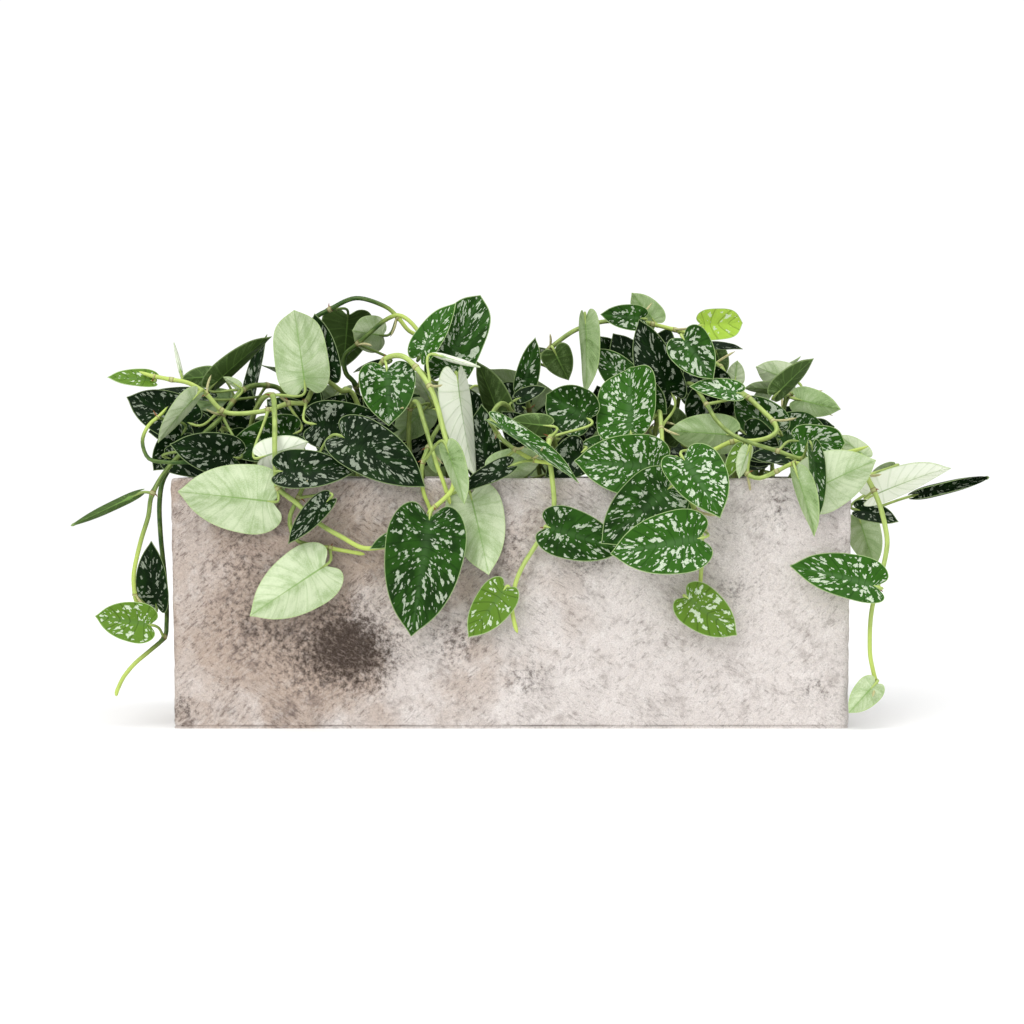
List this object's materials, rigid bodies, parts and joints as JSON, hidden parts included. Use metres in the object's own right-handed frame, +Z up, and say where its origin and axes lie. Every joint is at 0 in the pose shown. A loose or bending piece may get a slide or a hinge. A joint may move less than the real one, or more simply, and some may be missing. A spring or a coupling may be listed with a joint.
{
  "type": "potted satin pothos",
  "caption": "Satin pothos vines with silver-flecked heart-shaped leaves trailing over a rectangular rough stone trough planter.",
  "frame": {"origin": "middle of the planter's flat underside", "axes": "+X along the trough, -Y out of its front, +Z up"},
  "size_m": [0.8325, 0.351, 0.3927],
  "materials": {
    "rough_stone": "rough cast, mottled beige and grey-brown",
    "potting_soil": "loose dark crumb",
    "satin_leaf": "satin green with broken silver flecks, pale green underside"
  },
  "bodies": {
    "root": {"planter": "rough_stone", "soil": "potting_soil", "vine_left_runner": "satin_leaf", "vine_left_arch": "satin_leaf", "vine_front_left": "satin_leaf", "vine_front_loop": "satin_leaf", "vine_high_arch": "satin_leaf", "vine_low_arch": "satin_leaf", "vine_centre_fall": "satin_leaf", "vine_centre_left": "satin_leaf", "vine_centre_upright": "satin_leaf", "vine_middle": "satin_leaf", "vine_middle_fall": "satin_leaf", "vine_right_crest": "satin_leaf", "vine_right_fall": "satin_leaf", "vine_right_loop": "satin_leaf", "vine_heart": "satin_leaf", "vine_right_runner": "satin_leaf", "vine_right_corner": "satin_leaf", "vine_right_hanging": "satin_leaf", "vine_right_side": "satin_leaf", "vine_right_crown": "satin_leaf", "vine_left_hanging": "satin_leaf", "vine_back_far_left": "satin_leaf", "vine_back_left": "satin_leaf", "vine_back_centre_left": "satin_leaf", "vine_back_centre": "satin_leaf", "vine_back_centre_right": "satin_leaf", "vine_back_right": "satin_leaf", "vine_left_loop": "satin_leaf", "vine_left_end": "satin_leaf", "vine_crown_far_left": "satin_leaf", "vine_crown_inner_left": "satin_leaf", "vine_crown_left": "satin_leaf", "vine_crown_centre_left": "satin_leaf", "vine_crown_centre": "satin_leaf", "vine_crown_centre_right": "satin_leaf", "vine_crown_right": "satin_leaf", "vine_crown_inner_right": "satin_leaf", "vine_crown_far_right": "satin_leaf"}
  },
  "joints": []
}
